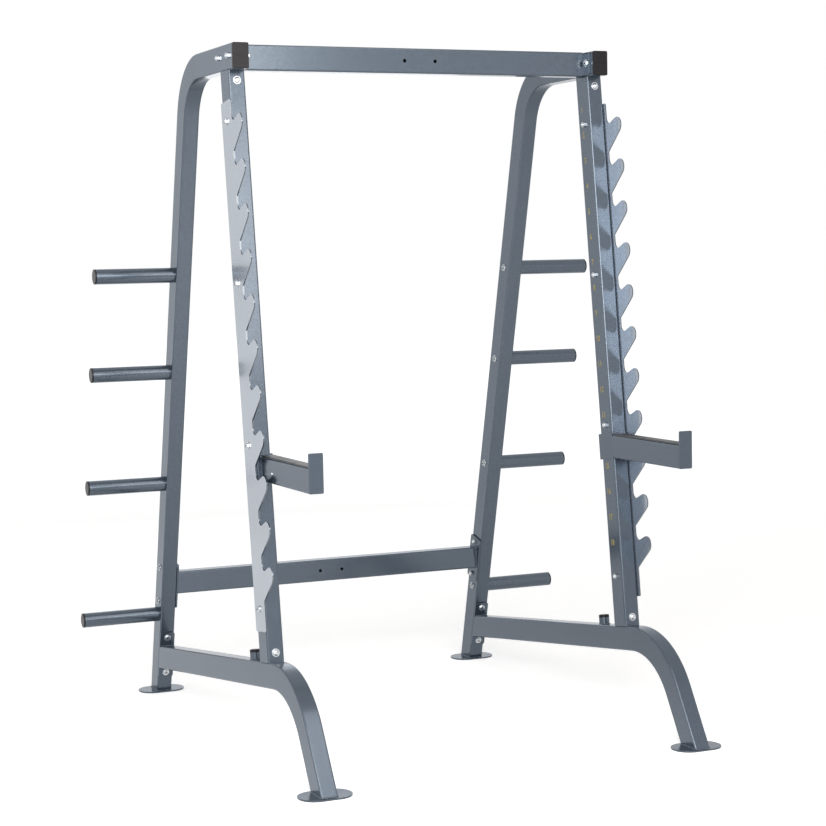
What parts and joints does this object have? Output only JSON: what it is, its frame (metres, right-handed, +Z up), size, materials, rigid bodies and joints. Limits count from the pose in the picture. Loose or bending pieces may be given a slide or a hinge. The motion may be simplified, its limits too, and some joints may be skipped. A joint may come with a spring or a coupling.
{
  "type": "half rack",
  "caption": "Half rack for barbell training: two side frames of bent tube, toothed bar hooks, sliding spotter arms, storage pegs for weight plates and two crossbars.",
  "frame": {"origin": "on the floor, on the mirror plane, half way between the centres of the front and rear foot plates", "axes": "+X across the rack to the right, +Y to the rear where the rear legs stand, +Z up"},
  "size_m": [1.742, 1.674, 2.085],
  "materials": {
    "paint": "glossy silver-blue powder coat",
    "hook_steel": "bright silver powder coat",
    "zinc": "bright zinc plating",
    "plain_steel": "satin steel",
    "black_plastic": "smooth black plastic",
    "wear_pad": "hard black wear plastic"
  },
  "bodies": {
    "frame": {"band_stub_left": "paint", "band_stub_plug_left": "black_plastic", "band_stub_plug_right": "black_plastic", "band_stub_right": "paint", "beam_cap_left": "black_plastic", "beam_cap_right": "black_plastic", "flange_nuts": "zinc", "front_foot_plate_left": "paint", "front_foot_plate_right": "paint", "front_upright_left": "paint", "front_upright_right": "paint", "hook_plate_bolts": "zinc", "hook_plate_left": "hook_steel", "hook_plate_nuts": "zinc", "hook_plate_right": "hook_steel", "lower_beam_flange_left": "paint", "lower_beam_flange_right": "paint", "lower_flange_bolts": "zinc", "lower_frame_tube_left": "paint", "lower_frame_tube_right": "paint", "lower_spigot_left": "paint", "lower_spigot_right": "paint", "rear_crossbar": "paint", "rear_crossbar_flange_left": "paint", "rear_crossbar_flange_right": "paint", "rear_flange_bolts": "zinc", "rear_foot_plate_left": "paint", "rear_foot_plate_right": "paint", "rear_frame_tube_left": "paint", "rear_frame_tube_right": "paint", "top_crossbar": "paint", "top_crossbar_flange_left": "paint", "top_crossbar_flange_right": "paint", "top_flange_bolts": "zinc", "upper_spigot_left": "paint", "upper_spigot_right": "paint", "upright_bolts": "zinc", "upright_washers": "zinc", "weight_peg_bolts": "zinc", "weight_peg_caps": "black_plastic", "weight_peg_left_1": "paint", "weight_peg_left_2": "paint", "weight_peg_left_3": "paint", "weight_peg_left_4": "paint", "weight_peg_right_1": "paint", "weight_peg_right_2": "paint", "weight_peg_right_3": "paint", "weight_peg_right_4": "paint"},
    "arm_left": {"spotter_arm_left": "paint", "arm_sleeve_left": "paint", "arm_lip_left": "paint", "arm_pad_left": "wear_pad", "pin_housing_left": "plain_steel"},
    "arm_right": {"spotter_arm_right": "paint", "arm_sleeve_right": "paint", "arm_lip_right": "paint", "arm_pad_right": "wear_pad", "pin_housing_right": "plain_steel"},
    "pin_left": {"pull_pin_left": "plain_steel"},
    "pin_right": {"pull_pin_right": "plain_steel"}
  },
  "joints": [
    {"name": "spotter_arm_left", "type": "slide", "parent": "frame", "child": "arm_left", "axis": [0, 0.1241, 0.9923], "range_m": [-0.24, 0]},
    {"name": "spotter_arm_right", "type": "slide", "parent": "frame", "child": "arm_right", "axis": [0, 0.1241, 0.9923], "range_m": [-0.24, 0]},
    {"name": "pull_pin_left", "type": "slide", "parent": "arm_left", "child": "pin_left", "axis": [0, 0.9923, -0.1241], "range_m": [0, 0.014], "stiffness_N_per_m": 800, "springref_m": -0.004},
    {"name": "pull_pin_right", "type": "slide", "parent": "arm_right", "child": "pin_right", "axis": [0, 0.9923, -0.1241], "range_m": [0, 0.014], "stiffness_N_per_m": 800, "springref_m": -0.004}
  ]
}
